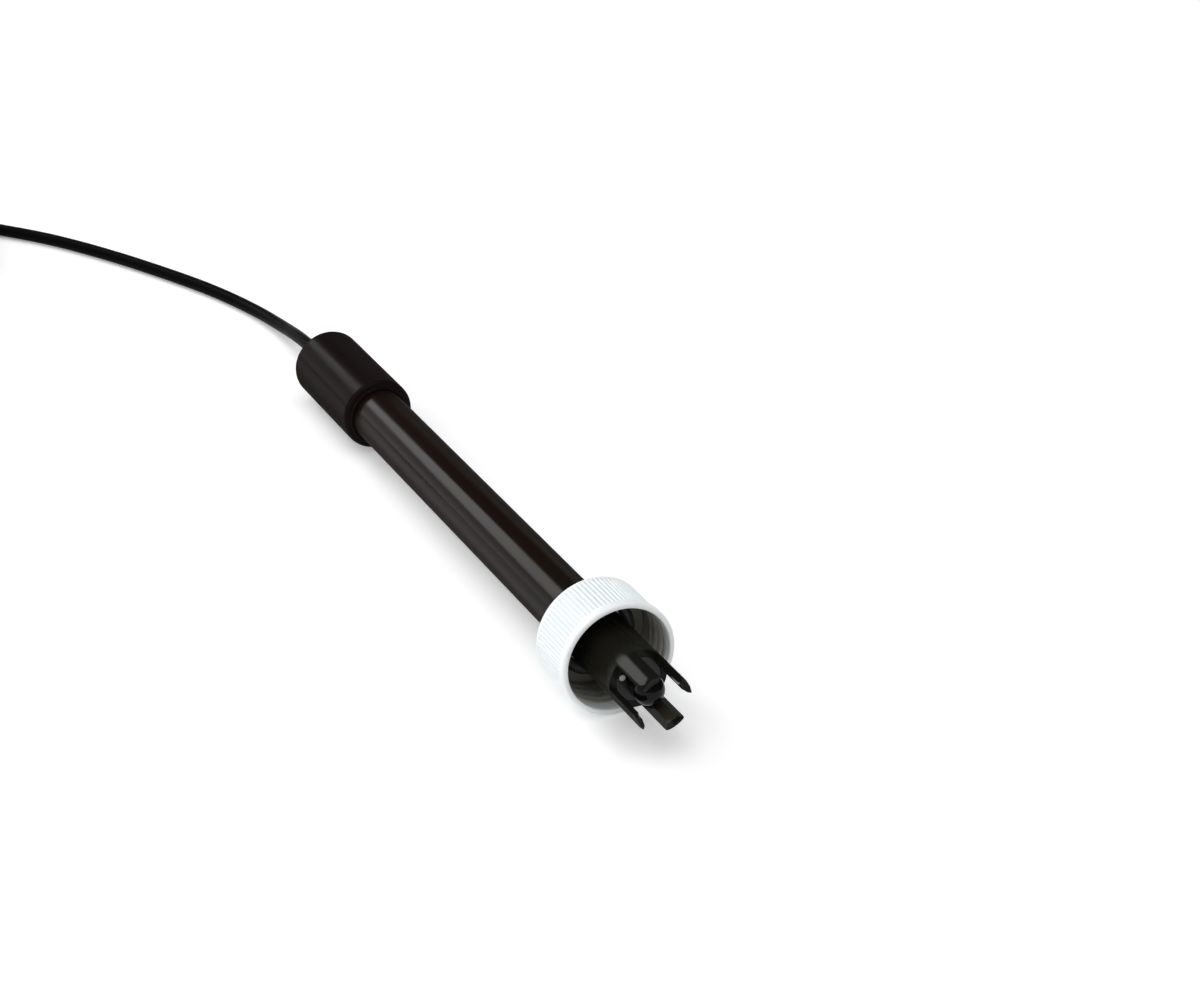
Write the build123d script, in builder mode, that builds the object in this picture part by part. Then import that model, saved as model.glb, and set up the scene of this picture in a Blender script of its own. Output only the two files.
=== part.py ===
# Combination pH electrode with a storage-bottle screw cap on its shaft, lying on a table.
# Millimetres. The tip points to +X, +Z is up and the table is at z = 0.
import os
from math import atan, cos, degrees, pi, radians, sin, sqrt, tan

from build123d import *

os.makedirs("parts", exist_ok=True)

# Shaft: a plastic tube whose end is slotted into guard prongs.
overall_length = 165.0
shaft_diameter = 12.0
shaft_wall = 1.4
guard_length = 10.2
slot_width = 5.0
prong_count = 4
prong_angle = 26.7
tip_inset = 0.3
tip_land = 0.4
outer_bevel_length = 0.9
inner_bevel_length = 1.7

# Top cap
top_cap_diameter = 16.0
top_cap_length = 31.5
top_cap_rear_radius = 1.4
top_cap_front_radius = 1.0
collar_diameter = 13.6
collar_length = 0.5
collar_radius = 0.25
step_limit = 0.9
top_cap_end_wall = 4.5
tube_grip_length = 19.5

# Glass electrode
stem_diameter = 4.6
stem_wall = 0.5
stem_setback = 20.0
bulb_diameter = 6.0
bulb_wall = 0.45
bulb_reach = 4.2
buffer_headspace = 4.0

# Seals and fillings
end_plug_length = 5.0
junction_diameter = 1.2
junction_proud = 0.15
bung_length = 8.0
stopper_length = 8.0
stopper_setback = 14.0
gel_headspace = 6.0

# Wires, leads and joints
wire_diameter = 0.5
inner_wire_stop = 4.5
reference_wire_stop = 30.8
wire_start = 12.0
core_diameter = 0.9
pigtail_diameter = 0.8
joint_diameter = 1.2
joint_length = 2.0
cable_inset = 5.0
pigtail_straight = 2.5
pigtail_bend = 2.6

# Screw cap and its seal ring
cap_setback = 17.7
cap_height = 12.8
cap_rim_diameter = 23.5
cap_wall_diameter = 22.8
cap_bore_diameter = 21.2
cap_roof = 1.6
cap_hole_diameter = 12.7
rim_band = 1.8
cap_edge_radius = 1.0
rim_edge_radius = 0.5
rib_count = 82
rib_groove = 0.28
rib_setback = 1.3
vee_turn = 45.0
ring_section = 2.2

# Cable and coil
cable_diameter = 3.0
ferrule_wall = 0.7
ferrule_length = 3.5
coil_center = (-205.7, -69.9)
coil_radius = 17.5
coil_width = 8.2
coil_height = 12.4
coil_corner = 2.8
tie_thickness = 0.6
tie_width = 5.0
tie_angle = 20.0
exit_length = 4.0
bend_share = 0.45

# Bayonet plug, with stations counted back from the front of its sleeve
plug_front = (-134.5, -87.5)
coupling_diameter = 14.4
coupling_bore = 9.9
coupling_flange = 2.2
coupling_edge = 0.5
waist_diameter = 13.0
waist_length = 1.6
waist_setback = 6.2
grip_count = 24
grip_groove = 0.45
groove_depth = 0.9
groove_width = 2.4
groove_reach = 5.2
groove_turn = 75.0
shield_diameter = 8.1
shield_wall = 0.5
shield_setback = 1.0
shield_length = 5.2
slit_width = 0.4
slit_length = 4.2
slit_count = 4
slit_angle = 45.0
seat_diameter = 8.6
seat_length = 1.2
flange_length = 1.5
gasket_thickness = 0.9
washer_thickness = 0.24
neck_diameter = 8.6
nut_diameter = 10.4
nut_length = 4.2
stem_tail_diameter = 4.4
stem_tail_length = 8.0
insulator_length = 6.0
pin_diameter = 1.35
pin_setback = 1.6
pin_shoulder_diameter = 2.0
pin_shoulder_proud = 0.2
pin_tip_chamfer = 0.3
pin_tail = 2.0
crimp_wall = 0.5
boot_front_diameter = 8.4
boot_rear_diameter = 5.2
boot_length = 22.0
boot_lead = 5.0
boot_rings = 5
boot_ring_pitch = 2.2
boot_ring_width = 1.0
boot_ring_depth = 0.5
boot_ring_setback = 2.4

# Fits
press_gap = 0.03
fill_gap = 0.05
run_gap = 0.05
sleeve_gap = 0.3
tie_gap = 0.15
washer_gap = 0.03

# Derived sizes
shaft_radius = shaft_diameter / 2
bore_radius = shaft_radius - shaft_wall
top_cap_radius = top_cap_diameter / 2
rim_radius = cap_rim_diameter / 2
stem_radius = stem_diameter / 2
stem_bore_radius = stem_radius - stem_wall
bulb_radius = bulb_diameter / 2
bulb_bore_radius = bulb_radius - bulb_wall
wire_radius = wire_diameter / 2
cable_radius = cable_diameter / 2
annulus_radius = (stem_radius + bore_radius) / 2
slot_angle = prong_angle + 180 / prong_count

# Stations along the electrode, counted from the rear face of the top cap
end_face = overall_length - guard_length
bulb_station = end_face + bulb_reach
plug_rear = end_face - end_plug_length
cap_mouth = overall_length - cap_setback
cap_rear = cap_mouth - cap_height
roof_face = cap_rear + cap_roof
ring_radius = shaft_radius + run_gap + ring_section / 2
ring_station = roof_face + run_gap + ring_section / 2
tube_rear = top_cap_length - tube_grip_length
cable_stop = top_cap_end_wall + cable_inset
wire_rear = tube_rear + wire_start
stopper_rear = tube_rear + stopper_setback
stem_rear = stopper_rear + stopper_length + stem_setback
joint_rear = wire_rear - joint_length
reference_wire_tip = plug_rear - reference_wire_stop

# Resting pose: the rim of the screw cap and the rear edge of the top cap touch the table
rear_contact = top_cap_rear_radius
rim_contact = cap_mouth - rim_edge_radius
rest_tilt = atan((rim_radius - top_cap_radius) / (rim_contact - rear_contact))
axis_direction = Vector(cos(rest_tilt), 0, sin(rest_tilt))
axis_up = Vector(-sin(rest_tilt), 0, cos(rest_tilt))
rear_height = top_cap_radius * cos(rest_tilt) - rear_contact * sin(rest_tilt)
rear_center = Vector(-overall_length / 2 * cos(rest_tilt), 0, rear_height)
shaft_axis = Axis(rear_center, axis_direction)
side_plane = Plane(origin=rear_center, x_dir=axis_direction, z_dir=(0, -1, 0))


def station_plane(station):
    # Section of the electrode at a station: x is up, y is to the near side.
    return Plane(origin=rear_center + axis_direction * station, x_dir=axis_up, z_dir=axis_direction)


def around(radius, angle):
    # Place on a section plane, by radius and by angle from the top towards the near side.
    return (radius * cos(radians(angle)), radius * sin(radians(angle)))


def ring_profile(start, stop, inner, outer):
    # Rectangle of a plain bush, from station start to stop.
    with Locations(((start + stop) / 2, (inner + outer) / 2)):
        Rectangle(stop - start, outer - inner)


def finish(piece, name):
    piece.part.label = name
    export_step(piece.part, f"parts/{name}.step")


# Body tube with its guard prongs
tip_radius = shaft_radius - tip_inset
with BuildPart() as body_tube:
    with BuildSketch(side_plane):
        with BuildLine():
            Polyline(
                (tube_rear, bore_radius),
                (tube_rear, shaft_radius),
                (overall_length - outer_bevel_length, shaft_radius),
                (overall_length, tip_radius),
                (overall_length, tip_radius - tip_land),
                (overall_length - inner_bevel_length, bore_radius),
                close=True,
            )
        make_face()
    revolve(axis=shaft_axis)
    with BuildSketch(station_plane(end_face)):
        for number in range(prong_count // 2):
            Rectangle(shaft_diameter + shaft_wall, slot_width, rotation=slot_angle + number * 360 / prong_count)
    extrude(amount=guard_length + shaft_wall, mode=Mode.SUBTRACT)
finish(body_tube, "body_tube")

# Seal that closes the tube round the glass stem
with BuildPart() as end_plug:
    with BuildSketch(station_plane(plug_rear)):
        Circle(bore_radius - press_gap)
        Circle(stem_radius + press_gap, mode=Mode.SUBTRACT)
        with Locations(around(annulus_radius, slot_angle)):
            Circle(junction_diameter / 2 + press_gap, mode=Mode.SUBTRACT)
    extrude(amount=end_plug_length)
finish(end_plug, "end_plug")

# Porous plug that joins the reference gel to the sample
with BuildPart() as reference_junction:
    with BuildSketch(station_plane(plug_rear)):
        with Locations(around(annulus_radius, slot_angle)):
            Circle(junction_diameter / 2)
    extrude(amount=end_plug_length + junction_proud)
finish(reference_junction, "reference_junction")

# Glass stem with the bulb blown at its end
outer_neck = bulb_station - sqrt(bulb_radius**2 - stem_radius**2)
inner_neck = bulb_station - sqrt(bulb_bore_radius**2 - stem_bore_radius**2)
with BuildPart() as glass_electrode:
    with BuildSketch(side_plane):
        with BuildLine():
            Polyline(
                (inner_neck, stem_bore_radius),
                (stem_rear, stem_bore_radius),
                (stem_rear, stem_radius),
                (outer_neck, stem_radius),
            )
            ThreePointArc(
                (outer_neck, stem_radius),
                (bulb_station, bulb_radius),
                (bulb_station + bulb_radius, 0),
            )
            Line((bulb_station + bulb_radius, 0), (bulb_station + bulb_bore_radius, 0))
            ThreePointArc(
                (bulb_station + bulb_bore_radius, 0),
                (bulb_station, bulb_bore_radius),
                (inner_neck, stem_bore_radius),
            )
        make_face()
    revolve(axis=shaft_axis)
finish(glass_electrode, "glass_electrode")

# Silver wire of the glass half cell
wire_tip = bulb_station - inner_wire_stop
with BuildPart() as inner_wire:
    with BuildSketch(station_plane(wire_rear)):
        Circle(wire_radius)
    extrude(amount=wire_tip - wire_rear)
finish(inner_wire, "inner_wire")

# Bung in the rear end of the stem
with BuildPart() as stem_bung:
    with BuildSketch(station_plane(stem_rear)):
        Circle(stem_bore_radius - press_gap)
        Circle(wire_radius + press_gap, mode=Mode.SUBTRACT)
    extrude(amount=bung_length)
finish(stem_bung, "stem_bung")

# Buffer solution that fills the stem and the bulb round the wire
buffer_rear = stem_rear + bung_length + buffer_headspace
buffer_radius = stem_bore_radius - fill_gap
buffer_bulb = bulb_bore_radius - fill_gap
buffer_neck = bulb_station - sqrt(buffer_bulb**2 - buffer_radius**2)
with BuildPart() as inner_buffer:
    with BuildSketch(side_plane):
        with BuildLine():
            Polyline(
                (bulb_station + buffer_bulb, 0),
                (wire_tip + fill_gap, 0),
                (wire_tip + fill_gap, wire_radius + fill_gap),
                (buffer_rear, wire_radius + fill_gap),
                (buffer_rear, buffer_radius),
                (buffer_neck, buffer_radius),
            )
            ThreePointArc(
                (buffer_neck, buffer_radius),
                (bulb_station, buffer_bulb),
                (bulb_station + buffer_bulb, 0),
            )
        make_face()
    revolve(axis=shaft_axis)
finish(inner_buffer, "inner_buffer")

# Silver wire of the reference half cell, beside the stem
wire_place = around(annulus_radius, slot_angle + 180)
with BuildPart() as reference_wire:
    with BuildSketch(station_plane(wire_rear)):
        with Locations(wire_place):
            Circle(wire_radius)
    extrude(amount=reference_wire_tip - wire_rear)
finish(reference_wire, "reference_wire")

# Gel round the stem and the reference wire
gel_rear = stem_rear + gel_headspace
with BuildPart() as reference_gel:
    with BuildSketch(station_plane(gel_rear)):
        Circle(bore_radius - fill_gap)
        Circle(stem_radius + fill_gap, mode=Mode.SUBTRACT)
    extrude(amount=plug_rear - fill_gap - gel_rear)
    with BuildSketch(station_plane(gel_rear)):
        with Locations(wire_place):
            Circle(wire_radius + fill_gap)
    extrude(amount=reference_wire_tip + fill_gap - gel_rear, mode=Mode.SUBTRACT)
finish(reference_gel, "reference_gel")

# Bung in the rear of the tube, with the two wires through it
with BuildPart() as tube_stopper:
    with BuildSketch(station_plane(stopper_rear)):
        Circle(bore_radius - press_gap)
        with Locations((0, 0), wire_place):
            Circle(wire_radius + press_gap, mode=Mode.SUBTRACT)
    extrude(amount=stopper_length)
finish(tube_stopper, "tube_stopper")

# Top cap: a moulded cup over the tube, with a collar at its front and a hole for the cable
cable_hole_radius = cable_radius + press_gap
collar_step = abs(top_cap_radius - collar_diameter / 2)
front_fillet = min(top_cap_front_radius, step_limit * collar_step)
with BuildPart() as top_cap:
    with BuildSketch(side_plane):
        with BuildLine():
            FilletPolyline(
                (0, cable_hole_radius),
                (0, top_cap_radius),
                (top_cap_length - collar_length, top_cap_radius),
                (top_cap_length - collar_length, collar_diameter / 2),
                (top_cap_length, collar_diameter / 2),
                (top_cap_length, shaft_radius + press_gap),
                (tube_rear, shaft_radius + press_gap),
                (tube_rear, bore_radius),
                (top_cap_end_wall, bore_radius),
                (top_cap_end_wall, cable_hole_radius),
                radius=[0, top_cap_rear_radius, front_fillet, 0, collar_radius, 0, 0, 0, 0, 0],
                close=True,
            )
        make_face()
    revolve(axis=shaft_axis)
finish(top_cap, "top_cap")

# Crimp ring on the cable, inside the end wall of the top cap
with BuildPart() as cable_ferrule:
    with BuildSketch(side_plane):
        ring_profile(
            top_cap_end_wall,
            top_cap_end_wall + ferrule_length,
            cable_hole_radius,
            cable_hole_radius + ferrule_wall,
        )
    revolve(axis=shaft_axis)
finish(cable_ferrule, "cable_ferrule")

# Stripped core of the cable, up to its joint with the inner wire
with BuildPart() as core_lead:
    with BuildSketch(station_plane(cable_stop)):
        Circle(core_diameter / 2)
    extrude(amount=joint_rear - cable_stop)
finish(core_lead, "core_lead")

# Twisted shield of the cable, bent out to the reference wire
pigtail_offset = (core_diameter + pigtail_diameter) / 2 + fill_gap
pigtail_start = around(pigtail_offset, slot_angle + 180)


def pigtail_point(station, radius):
    # Point of the pigtail on the side of the reference wire.
    return station_plane(station).from_local_coords(Vector(*around(radius, slot_angle + 180)))


with BuildPart() as shield_lead:
    with BuildLine() as pigtail_path:
        FilletPolyline(
            pigtail_point(cable_stop, pigtail_offset),
            pigtail_point(cable_stop + pigtail_straight, pigtail_offset),
            pigtail_point(joint_rear - pigtail_straight, annulus_radius),
            pigtail_point(joint_rear, annulus_radius),
            radius=[pigtail_bend, pigtail_bend],
        )
    with BuildSketch(station_plane(cable_stop)):
        with Locations(pigtail_start):
            Circle(pigtail_diameter / 2)
    sweep(path=pigtail_path.line)
finish(shield_lead, "shield_lead")

# Solder joints between the cable ends and the silver wires
with BuildPart() as core_joint:
    with BuildSketch(station_plane(joint_rear)):
        Circle(joint_diameter / 2)
    extrude(amount=joint_length)
finish(core_joint, "core_joint")

with BuildPart() as shield_joint:
    with BuildSketch(station_plane(joint_rear)):
        with Locations(wire_place):
            Circle(joint_diameter / 2)
    extrude(amount=joint_length)
finish(shield_joint, "shield_joint")

# Screw cap with a hole for the shaft in its roof, and grooves between the grip ribs of its wall
cap_wall_radius = cap_wall_diameter / 2
cap_bore_radius = cap_bore_diameter / 2
cap_hole_radius = cap_hole_diameter / 2
band_start = cap_mouth - rim_band
with BuildPart() as screw_cap:
    with BuildSketch(side_plane):
        with BuildLine():
            FilletPolyline(
                (cap_rear, cap_hole_radius),
                (cap_rear, cap_wall_radius),
                (band_start, cap_wall_radius),
                (band_start, rim_radius),
                (cap_mouth, rim_radius),
                (cap_mouth, cap_bore_radius),
                (roof_face, cap_bore_radius),
                (roof_face, cap_hole_radius),
                radius=[0, cap_edge_radius, 0, 0, rim_edge_radius, 0, 0, 0],
                close=True,
            )
        make_face()
    revolve(axis=shaft_axis)
    with BuildSketch(station_plane(cap_rear + rib_setback)):
        with PolarLocations(cap_wall_radius, rib_count):
            Rectangle(rib_groove, rib_groove, rotation=vee_turn)
    extrude(amount=band_start - cap_rear - rib_setback, mode=Mode.SUBTRACT)
finish(screw_cap, "screw_cap")

# Rubber ring under the roof of the screw cap
with BuildPart() as seal_ring:
    with BuildSketch(side_plane):
        with Locations((ring_station, ring_radius)):
            Circle(ring_section / 2)
    revolve(axis=shaft_axis)
finish(seal_ring, "seal_ring")


def bend_radii(points):
    # Each bend of a cable takes as large a radius as its two runs allow.
    radii = []
    for before, corner, after in zip(points, points[1:], points[2:]):
        arriving = corner - before
        leaving = after - corner
        turn = radians(arriving.get_angle(leaving))
        radii.append(bend_share * min(arriving.length, leaving.length) / tan(turn / 2))
    return radii


def axis_point(station):
    return rear_center + axis_direction * station


# Cable from the top cap to the coil: chosen points after the straight exit
lead_points = [axis_point(cable_stop), axis_point(-exit_length)]
lead_points += [
    Vector(-100.0, 0.5, 6.3),
    Vector(-114.0, 1.3, 3.0),
    Vector(-129.0, -0.4, 1.5),
    Vector(-145.0, -6.0, 1.5),
    Vector(-161.0, -13.8, 1.5),
    Vector(-178.0, -23.0, 1.5),
    Vector(-194.0, -33.4, 1.5),
    Vector(-207.0, -45.2, 1.6),
    Vector(-217.7, -53.4, 2.2),
]
with BuildPart() as cable_lead:
    with BuildLine() as lead_path:
        FilletPolyline(*lead_points, radius=bend_radii(lead_points))
    with BuildSketch(station_plane(cable_stop)):
        Circle(cable_radius)
    sweep(path=lead_path.line)
finish(cable_lead, "cable_lead")

# Coil: the outer shape of the wound cable
coil_base = tie_thickness + tie_gap
coil_middle = coil_base + coil_height / 2
coil_axis = Axis((*coil_center, 0), (0, 0, 1))


def coil_plane(angle):
    # Upright half plane through the axis of the coil.
    direction = Vector(cos(radians(angle)), sin(radians(angle)), 0)
    return Plane(origin=(*coil_center, 0), x_dir=direction, z_dir=direction.cross(Vector(0, 0, 1)))


with BuildPart() as cable_coil:
    with BuildSketch(coil_plane(0)):
        with Locations((coil_radius, coil_middle)):
            RectangleRounded(coil_width, coil_height, coil_corner)
    revolve(axis=coil_axis)
finish(cable_coil, "cable_coil")

# Tie round the wound cable
tie_reach = 2 * (tie_gap + tie_thickness)
with BuildPart() as cable_tie:
    with BuildSketch(coil_plane(tie_angle)):
        with Locations((coil_radius, coil_middle)):
            RectangleRounded(coil_width + tie_reach, coil_height + tie_reach, coil_corner + tie_reach / 2)
            RectangleRounded(
                coil_width + 2 * tie_gap,
                coil_height + 2 * tie_gap,
                coil_corner + tie_gap,
                mode=Mode.SUBTRACT,
            )
    revolve(axis=coil_axis, revolution_arc=degrees(tie_width / coil_radius))
finish(cable_tie, "cable_tie")

# Bayonet plug: stations run back from the front of the sleeve
plug_height = coupling_diameter / 2
plug_origin = Vector(*plug_front, plug_height)
plug_back = Vector(-1, 0, 0)
plug_side = plug_back.cross(Vector(0, 0, 1))
plug_axis = Axis(plug_origin, plug_back)
plug_plane = Plane(origin=plug_origin, x_dir=plug_back, z_dir=plug_side)
shield_radius = shield_diameter / 2
shield_bore_radius = shield_radius - shield_wall
coupling_radius = coupling_diameter / 2
coupling_bore_radius = coupling_bore / 2
seat_radius = seat_diameter / 2
neck_radius = neck_diameter / 2
flange_radius = coupling_bore_radius - 2 * run_gap
seat_front = shield_setback + shield_length
flange_front = seat_front + seat_length
neck_front = flange_front + flange_length
inner_flange = neck_front + washer_thickness + 2 * washer_gap
coupling_rear = inner_flange + coupling_flange
nut_front = coupling_rear + sleeve_gap
nut_rear = nut_front + nut_length
tail_rear = nut_rear + stem_tail_length
tail_radius = stem_tail_diameter / 2
insulator_rear = flange_front + insulator_length
pin_radius = pin_diameter / 2
pin_shoulder_radius = pin_shoulder_diameter / 2
core_bore_radius = pin_shoulder_radius + 2 * press_gap


def plug_section(station):
    # Section of the plug at a station, looking from the front.
    return Plane(origin=plug_origin + plug_back * station, x_dir=plug_side, z_dir=plug_back)


def plug_spoke(angle):
    # Direction across the plug, by angle up from its side.
    return plug_side * cos(radians(angle)) + Vector(0, 0, sin(radians(angle)))


# Plug body with its slit shield contact, flange, neck and crimp stem
with BuildPart() as plug_body:
    with BuildSketch(plug_plane):
        with BuildLine():
            Polyline(
                (shield_setback, shield_bore_radius),
                (shield_setback, shield_radius),
                (seat_front, shield_radius),
                (seat_front, seat_radius),
                (flange_front, seat_radius),
                (flange_front, flange_radius),
                (neck_front, flange_radius),
                (neck_front, neck_radius),
                (nut_rear, neck_radius),
                (nut_rear, tail_radius),
                (tail_rear, tail_radius),
                (tail_rear, core_bore_radius),
                (insulator_rear, core_bore_radius),
                (insulator_rear, shield_bore_radius),
                close=True,
            )
        make_face()
    revolve(axis=plug_axis)
    with BuildSketch(plug_section(nut_front)):
        RegularPolygon(nut_diameter / 2, 6, major_radius=False)
        Circle(neck_radius - shield_wall, mode=Mode.SUBTRACT)
    extrude(amount=nut_length)
    with BuildSketch(plug_section(shield_setback)):
        for number in range(slit_count // 2):
            Rectangle(shield_diameter + shield_wall, slit_width, rotation=slit_angle + number * 360 / slit_count)
    extrude(amount=slit_length, mode=Mode.SUBTRACT)
finish(plug_body, "plug_body")

# Insulator that carries the pin
with BuildPart() as plug_insulator:
    with BuildSketch(plug_plane):
        ring_profile(
            flange_front,
            insulator_rear,
            pin_shoulder_radius + press_gap,
            shield_bore_radius - press_gap,
        )
    revolve(axis=plug_axis)
finish(plug_insulator, "plug_insulator")

# Centre pin
shoulder_front = flange_front - pin_shoulder_proud
with BuildPart() as plug_pin:
    with BuildSketch(plug_plane):
        with BuildLine():
            Polyline(
                (pin_setback, 0),
                (pin_setback, pin_radius - pin_tip_chamfer),
                (pin_setback + pin_tip_chamfer, pin_radius),
                (shoulder_front, pin_radius),
                (shoulder_front, pin_shoulder_radius),
                (insulator_rear + pin_tail, pin_shoulder_radius),
                (insulator_rear + pin_tail, 0),
                close=True,
            )
        make_face()
    revolve(axis=plug_axis)
finish(plug_pin, "plug_pin")

# Gasket on the seat in front of the flange
with BuildPart() as plug_gasket:
    with BuildSketch(plug_plane):
        ring_profile(flange_front - gasket_thickness, flange_front, seat_radius + press_gap, flange_radius)
    revolve(axis=plug_axis)
finish(plug_gasket, "plug_gasket")

# Spring washer between the flange and the sleeve
with BuildPart() as plug_washer:
    with BuildSketch(plug_plane):
        ring_profile(
            neck_front + washer_gap,
            neck_front + washer_gap + washer_thickness,
            neck_radius + run_gap,
            flange_radius,
        )
    revolve(axis=plug_axis)
finish(plug_washer, "plug_washer")

# Bayonet sleeve, with two hooked grooves that end in round holes, and a grooved grip
waist_radius = waist_diameter / 2
groove_radius = coupling_bore_radius + groove_depth
with BuildPart() as plug_coupling:
    with BuildSketch(plug_plane):
        with BuildLine():
            FilletPolyline(
                (0, coupling_bore_radius),
                (0, coupling_radius),
                (waist_setback, coupling_radius),
                (waist_setback, waist_radius),
                (waist_setback + waist_length, waist_radius),
                (waist_setback + waist_length, coupling_radius),
                (coupling_rear, coupling_radius),
                (coupling_rear, neck_radius + run_gap),
                (inner_flange, neck_radius + run_gap),
                (inner_flange, coupling_bore_radius),
                radius=[0, coupling_edge, 0, 0, 0, 0, coupling_edge, 0, 0, 0],
                close=True,
            )
        make_face()
    revolve(axis=plug_axis)
    with BuildSketch(plug_section(0)):
        Rectangle(2 * groove_radius, groove_width)
    extrude(amount=groove_reach, mode=Mode.SUBTRACT)
    for entry in (0, 180):
        spoke = plug_spoke(entry)
        with BuildSketch(Plane(origin=plug_origin, x_dir=plug_back, z_dir=plug_back.cross(spoke))):
            ring_profile(groove_reach - groove_width, groove_reach, shield_radius, groove_radius)
        revolve(axis=plug_axis, revolution_arc=groove_turn, mode=Mode.SUBTRACT)
        lock = plug_spoke(entry - groove_turn)
        with BuildSketch(Plane(origin=plug_origin + plug_back * (groove_reach - groove_width / 2), z_dir=lock)):
            Circle(groove_width / 2)
        extrude(amount=coupling_diameter, mode=Mode.SUBTRACT)
    with BuildSketch(plug_section(waist_setback + waist_length)):
        with PolarLocations(coupling_radius, grip_count):
            Rectangle(grip_groove, grip_groove, rotation=vee_turn)
    extrude(amount=coupling_rear - waist_setback - waist_length, mode=Mode.SUBTRACT)
finish(plug_coupling, "plug_coupling")

# Crimp sleeve on the stem
crimp_inner = tail_radius + press_gap
crimp_outer = crimp_inner + crimp_wall
with BuildPart() as plug_crimp:
    with BuildSketch(plug_plane):
        ring_profile(nut_rear, tail_rear, crimp_inner, crimp_outer)
    revolve(axis=plug_axis)
finish(plug_crimp, "plug_crimp")

# Bend relief boot over the crimp sleeve and the cable, with rings cut round its thin end
boot_rear = nut_rear + boot_length
with BuildPart() as plug_boot:
    with BuildSketch(plug_plane):
        with BuildLine():
            Polyline(
                (nut_rear, crimp_outer + press_gap),
                (nut_rear, boot_front_diameter / 2),
                (boot_rear, boot_rear_diameter / 2),
                (boot_rear, cable_hole_radius),
                (tail_rear, cable_hole_radius),
                (tail_rear, crimp_outer + press_gap),
                close=True,
            )
        make_face()
    revolve(axis=plug_axis)
    with BuildSketch(plug_plane):
        for number in range(boot_rings):
            ring_rear = boot_rear - boot_ring_setback - number * boot_ring_pitch
            taper = (boot_front_diameter - boot_rear_diameter) / 2 * (boot_rear - ring_rear) / boot_length
            ring_floor = boot_rear_diameter / 2 + taper - boot_ring_depth
            ring_profile(ring_rear - boot_ring_width, ring_rear, ring_floor, boot_front_diameter)
    revolve(axis=plug_axis, mode=Mode.SUBTRACT)
finish(plug_boot, "plug_boot")

# Cable from the coil to the plug
tail_points = [
    Vector(-207.5, -89.4, 11.2),
    Vector(-196.5, -89.0, 10.6),
    plug_origin + plug_back * (boot_rear + boot_lead),
    plug_origin + plug_back * tail_rear,
]
with BuildPart() as cable_tail:
    with BuildLine() as tail_path:
        FilletPolyline(*tail_points, radius=bend_radii(tail_points))
    with BuildSketch(Plane(origin=tail_path.line @ 0, z_dir=tail_path.line % 0)):
        Circle(cable_radius)
    sweep(path=tail_path.line)
finish(cable_tail, "cable_tail")

# Cable check: bend radii, lengths, and swept volume against section times length
for name, path, points, piece in (
    ("lead", lead_path, lead_points, cable_lead),
    ("tail", tail_path, tail_points, cable_tail),
):
    length = path.wire().length
    fill = piece.part.volume / (pi * cable_radius**2 * length)
    radii = [round(radius, 1) for radius in bend_radii(points)]
    print(name, "length", round(length, 1), "volume ratio", round(fill, 4), "bend radii", radii)
print("rest tilt", round(degrees(rest_tilt), 3), "rear center", rear_center)
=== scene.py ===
from math import asin, atan2, cos, degrees, pi, radians, sin, sqrt, tan

import bmesh
import bpy
from mathutils import Matrix, Vector


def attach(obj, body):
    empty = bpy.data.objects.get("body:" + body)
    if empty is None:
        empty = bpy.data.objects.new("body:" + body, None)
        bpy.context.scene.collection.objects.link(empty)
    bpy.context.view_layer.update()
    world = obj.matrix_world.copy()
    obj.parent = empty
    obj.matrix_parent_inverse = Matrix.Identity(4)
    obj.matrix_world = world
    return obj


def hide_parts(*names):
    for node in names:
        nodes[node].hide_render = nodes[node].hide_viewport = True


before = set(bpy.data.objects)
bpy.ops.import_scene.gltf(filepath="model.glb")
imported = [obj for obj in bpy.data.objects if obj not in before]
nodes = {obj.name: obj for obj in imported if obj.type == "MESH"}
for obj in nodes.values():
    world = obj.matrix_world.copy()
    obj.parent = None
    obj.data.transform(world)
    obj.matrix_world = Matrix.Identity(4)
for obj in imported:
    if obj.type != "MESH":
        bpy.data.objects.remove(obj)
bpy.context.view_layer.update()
scene = bpy.context.scene
scene.view_settings.view_transform = "Standard"
mm = 0.001
print("frame loaded:", len(nodes), "nodes")

# stations run along the electrode from the top cap's rear face, and back along the plug from its front, in mm
axes = dict(
    shaft=(0.999668, 0.0, 0.025782),
    shaftOrigin=(-82.4726, 0.0, 7.96124),
    plug=(-1.0, 0.0, 0.0),
    plugFront=(-134.5, -87.5, 7.2),
)
alongShaft = Vector(axes["shaft"]).normalized()
shaftUp = Vector((-alongShaft.z, 0.0, alongShaft.x))
shaftNear = alongShaft.cross(shaftUp)
shaftOrigin = Vector(axes["shaftOrigin"]) * mm
plugBack = Vector(axes["plug"])
plugFront = Vector(axes["plugFront"]) * mm

# columns are the electrode's axis, up and near side, so that local x is the station
shaftMatrix = Matrix((alongShaft, shaftUp, shaftNear)).transposed().to_4x4()
shaftMatrix.translation = shaftOrigin


def axisPoint(station):
    return shaftOrigin + alongShaft * (station * mm)


def plugPoint(station):
    return plugFront + plugBack * (station * mm)


# helpers for meshes
meshSet = dict(
    weld=1e-7,          # metres, for turned pieces
    sliver=1e-8,
    solidWeld=2e-6,     # metres, for copies of solids
    flatAngle=1.0,      # degrees, under which a copy's triangles are joined
    turnedFace=0.985,   # how squarely a face has to look away from the axis
)


def addObject(name, data):
    made = bpy.data.objects.new(name, data)
    scene.collection.objects.link(made)
    return made


def takeMesh(name, build):
    made = bpy.data.meshes.new(name)
    build.to_mesh(made)
    build.free()
    return made


def roundPoint(station, radius, angle):
    # a point about local x, from mm and radians
    return station * mm, radius * cos(angle) * mm, radius * sin(angle) * mm


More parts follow.
